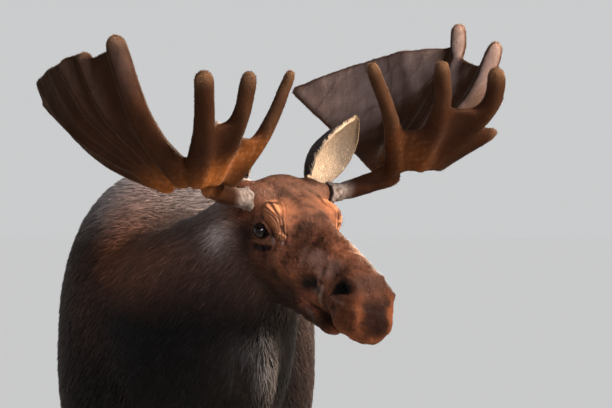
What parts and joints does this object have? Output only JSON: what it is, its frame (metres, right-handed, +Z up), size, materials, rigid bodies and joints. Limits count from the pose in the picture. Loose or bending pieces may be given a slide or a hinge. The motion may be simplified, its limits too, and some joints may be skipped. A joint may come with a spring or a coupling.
{
  "type": "bull moose",
  "caption": "Life-size still model of a bull moose in summer velvet, standing with its head turned to its left and slightly lowered; broad palmate antlers, long nose, bell and shoulder hump.",
  "frame": {"origin": "on the ground, under the middle of the animal's box", "axes": "+Z up; the body points along -Y, its left side is +X, and its tail end is at +Y"},
  "size_m": [1.2316, 2.861, 2.2674],
  "materials": {
    "coat": "dark brown summer hair, coarse on the neck and short on the face",
    "velvet": "brown velvet skin with short fuzz",
    "hoof_horn": "dark satin horn",
    "eye": "near-black, wet gloss"
  },
  "bodies": {
    "root": {"antler_beam_left": "velvet", "antler_beam_right": "velvet", "antler_brow_palm_left": "velvet", "antler_brow_palm_right": "velvet", "antler_main_palm_left": "velvet", "antler_main_palm_right": "velvet", "bell": "coat", "dewclaw_fore_left_inner": "hoof_horn", "dewclaw_fore_left_outer": "hoof_horn", "dewclaw_fore_right_inner": "hoof_horn", "dewclaw_fore_right_outer": "hoof_horn", "dewclaw_hind_left_inner": "hoof_horn", "dewclaw_hind_left_outer": "hoof_horn", "dewclaw_hind_right_inner": "hoof_horn", "dewclaw_hind_right_outer": "hoof_horn", "ear_left": "coat", "ear_right": "coat", "eye_left": "eye", "eye_right": "eye", "head": "coat", "hoof_fore_left_inner": "hoof_horn", "hoof_fore_left_outer": "hoof_horn", "hoof_fore_right_inner": "hoof_horn", "hoof_fore_right_outer": "hoof_horn", "hoof_hind_left_inner": "hoof_horn", "hoof_hind_left_outer": "hoof_horn", "hoof_hind_right_inner": "hoof_horn", "hoof_hind_right_outer": "hoof_horn", "leg_fore_left": "coat", "leg_fore_right": "coat", "leg_hind_left": "coat", "leg_hind_right": "coat", "neck": "coat", "shank_fore_left": "coat", "shank_fore_right": "coat", "shank_hind_left": "coat", "shank_hind_right": "coat", "tail": "coat", "trunk": "coat"}
  },
  "joints": []
}
